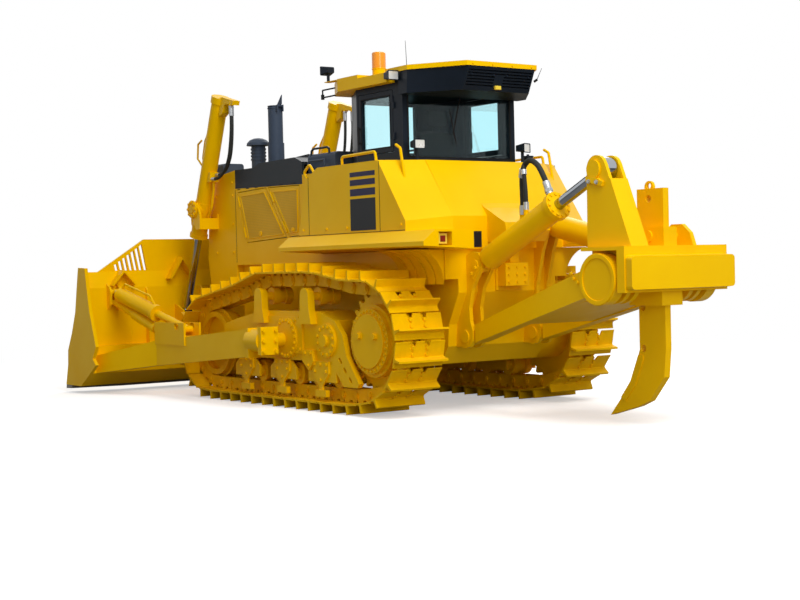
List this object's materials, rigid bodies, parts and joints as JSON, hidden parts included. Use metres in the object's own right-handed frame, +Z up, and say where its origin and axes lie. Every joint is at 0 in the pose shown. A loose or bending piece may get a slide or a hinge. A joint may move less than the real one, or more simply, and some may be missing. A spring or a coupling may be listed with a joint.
{
  "type": "bulldozer",
  "caption": "Crawler bulldozer with a semi-U blade on push arms, a closed cab behind a sloping hood, steel tracks and a parallelogram ripper at the rear.",
  "frame": {"origin": "on the ground under the middle of the overall length, on the machine's centre plane", "axes": "+X to the machine's left side, -Y forwards to the blade, +Z up"},
  "size_m": [4.13, 8.163, 3.63],
  "materials": {
    "yellow_paint": "semi-gloss",
    "track_steel": "worn, dusty",
    "worn_steel": "worn",
    "charcoal_paint": "satin",
    "blue_grey_paint": "satin",
    "cab_paint": "semi-gloss",
    "chrome": "polished",
    "clear_glass": "clear",
    "seat_vinyl": "matte",
    "orange_lens": "glossy",
    "black_rubber": "matte",
    "engine_paint": "satin"
  },
  "bodies": {
    "machine": {"track_left": "track_steel", "track_right": "track_steel", "sprockets": "yellow_paint", "idlers": "yellow_paint", "track_frames": "yellow_paint", "track_rollers": "yellow_paint", "main_frame": "yellow_paint", "radiator_guard": "yellow_paint", "engine_block": "engine_paint", "hood": "charcoal_paint", "bay_walls": "yellow_paint", "exhaust_stack": "blue_grey_paint", "precleaner": "blue_grey_paint", "platform": "yellow_paint", "cowl": "blue_grey_paint", "side_tanks": "yellow_paint", "fuel_tank": "yellow_paint", "cab_frame": "cab_paint", "cab_roof": "yellow_paint", "cab_glass": "clear_glass", "seat": "seat_vinyl", "beacon": "orange_lens", "lift_yokes": "yellow_paint", "header_tank": "blue_grey_paint", "roof_band": "cab_paint", "work_lamps": "cab_paint", "lamp_lenses": "clear_glass", "hand_rails": "yellow_paint", "filler_cap": "cab_paint", "ripper_brackets": "yellow_paint"},
    "blade_gear": {"blade": "yellow_paint", "cutting_edge": "worn_steel", "push_arms": "yellow_paint", "blade_braces": "yellow_paint"},
    "lift_barrels": {"lift_cylinders": "yellow_paint", "lift_hoses": "black_rubber"},
    "lift_pistons": {"lift_rods": "chrome"},
    "ripper_frame": {"ripper_arms": "yellow_paint"},
    "ripper_tool": {"ripper_beam": "yellow_paint", "ripper_shank": "yellow_paint"},
    "ripper_tilt_link": {"ripper_tilt_cylinder": "yellow_paint", "ripper_tilt_rod": "chrome", "ripper_hoses": "black_rubber"},
    "ripper_lift_barrel": {"ripper_lift_cylinder": "yellow_paint"},
    "ripper_lift_piston": {"ripper_lift_rod": "chrome"},
    "cab_door_left_leaf": {"cab_door_left": "cab_paint", "door_glass_left": "clear_glass"},
    "cab_door_right_leaf": {"cab_door_right": "cab_paint", "door_glass_right": "clear_glass"},
    "rain_cap_flap": {"rain_cap": "blue_grey_paint"},
    "bay_door_front_left_leaf": {"bay_door_front_left": "yellow_paint"},
    "bay_door_rear_left_leaf": {"bay_door_rear_left": "yellow_paint"},
    "bay_door_front_right_leaf": {"bay_door_front_right": "yellow_paint"},
    "bay_door_rear_right_leaf": {"bay_door_rear_right": "yellow_paint"}
  },
  "joints": [
    {"name": "blade_lift", "type": "hinge", "parent": "machine", "child": "blade_gear", "pos_m": [0, -0.2665, 0.695], "axis": [-1, 0, 0], "range_deg": [-9, 17]},
    {"name": "lift_cylinder_swing", "type": "hinge", "parent": "machine", "child": "lift_barrels", "pos_m": [0, -2.8745, 2.141], "axis": [-1, 0, 0], "range_deg": [-7.2, 13.6]},
    {"name": "lift_rod_slide", "type": "slide", "parent": "lift_barrels", "child": "lift_pistons", "axis": [0, -0.3711, -0.9286], "range_m": [-0.8783, 0.465]},
    {"name": "ripper_lift", "type": "hinge", "parent": "machine", "child": "ripper_frame", "pos_m": [0, 1.7335, 0.735], "axis": [1, 0, 0], "range_deg": [-25, 20]},
    {"name": "ripper_beam_swing", "type": "hinge", "parent": "ripper_frame", "child": "ripper_tool", "pos_m": [0, 3.6705, 1.262], "axis": [1, 0, 0], "range_deg": [-13, 16.25]},
    {"name": "ripper_tilt_swing", "type": "hinge", "parent": "machine", "child": "ripper_tilt_link", "pos_m": [0.417, 1.9085, 1.41], "axis": [1, 0, 0], "range_deg": [-28.75, 23]},
    {"name": "ripper_lift_swing", "type": "hinge", "parent": "machine", "child": "ripper_lift_barrel", "pos_m": [-0.417, 1.9085, 1.79], "axis": [1, 0, 0], "range_deg": [-26.25, 21]},
    {"name": "ripper_lift_slide", "type": "slide", "parent": "ripper_lift_barrel", "child": "ripper_lift_piston", "axis": [0.0584, 0.9764, -0.208], "range_m": [-0.3386, 0.4233]},
    {"name": "cab_door_left_hinge", "type": "hinge", "parent": "machine", "child": "cab_door_left_leaf", "pos_m": [0.7, 0.9235, 2.8], "axis": [0, 0, -1], "range_deg": [-100, 0]},
    {"name": "bay_door_front_left_hinge", "type": "hinge", "parent": "machine", "child": "bay_door_front_left_leaf", "pos_m": [0.68, -2.0495, 1.72], "axis": [0, -0.3225, 0.9466], "range_deg": [-90, 0]},
    {"name": "bay_door_rear_left_hinge", "type": "hinge", "parent": "machine", "child": "bay_door_rear_left_leaf", "pos_m": [0.68, -1.1165, 1.757], "axis": [0, -0.6073, 0.7944], "range_deg": [-90, 0]},
    {"name": "cab_door_right_hinge", "type": "hinge", "parent": "machine", "child": "cab_door_right_leaf", "pos_m": [-0.7, 0.9235, 2.8], "axis": [0, 0, 1], "range_deg": [-100, 0]},
    {"name": "bay_door_front_right_hinge", "type": "hinge", "parent": "machine", "child": "bay_door_front_right_leaf", "pos_m": [-0.68, -2.0495, 1.72], "axis": [0, 0.3225, -0.9466], "range_deg": [-90, 0]},
    {"name": "bay_door_rear_right_hinge", "type": "hinge", "parent": "machine", "child": "bay_door_rear_right_leaf", "pos_m": [-0.68, -1.1165, 1.757], "axis": [0, 0.6073, -0.7944], "range_deg": [-90, 0]},
    {"name": "rain_cap_hinge", "type": "hinge", "parent": "machine", "child": "rain_cap_flap", "pos_m": [0.25, -1.9695, 3.294], "axis": [-1, 0, 0], "range_deg": [0, 60]}
  ],
  "couplings": [
    {"joint": "lift_cylinder_swing", "follows": "blade_lift", "ratio": 0.8},
    {"joint": "lift_rod_slide", "follows": "blade_lift", "m_per_rad": -2.96},
    {"joint": "ripper_beam_swing", "follows": "ripper_lift", "ratio": -0.65},
    {"joint": "ripper_tilt_swing", "follows": "ripper_lift", "ratio": 1.15},
    {"joint": "ripper_lift_swing", "follows": "ripper_lift", "ratio": 1.05},
    {"joint": "ripper_lift_slide", "follows": "ripper_lift", "m_per_rad": -0.97}
  ]
}
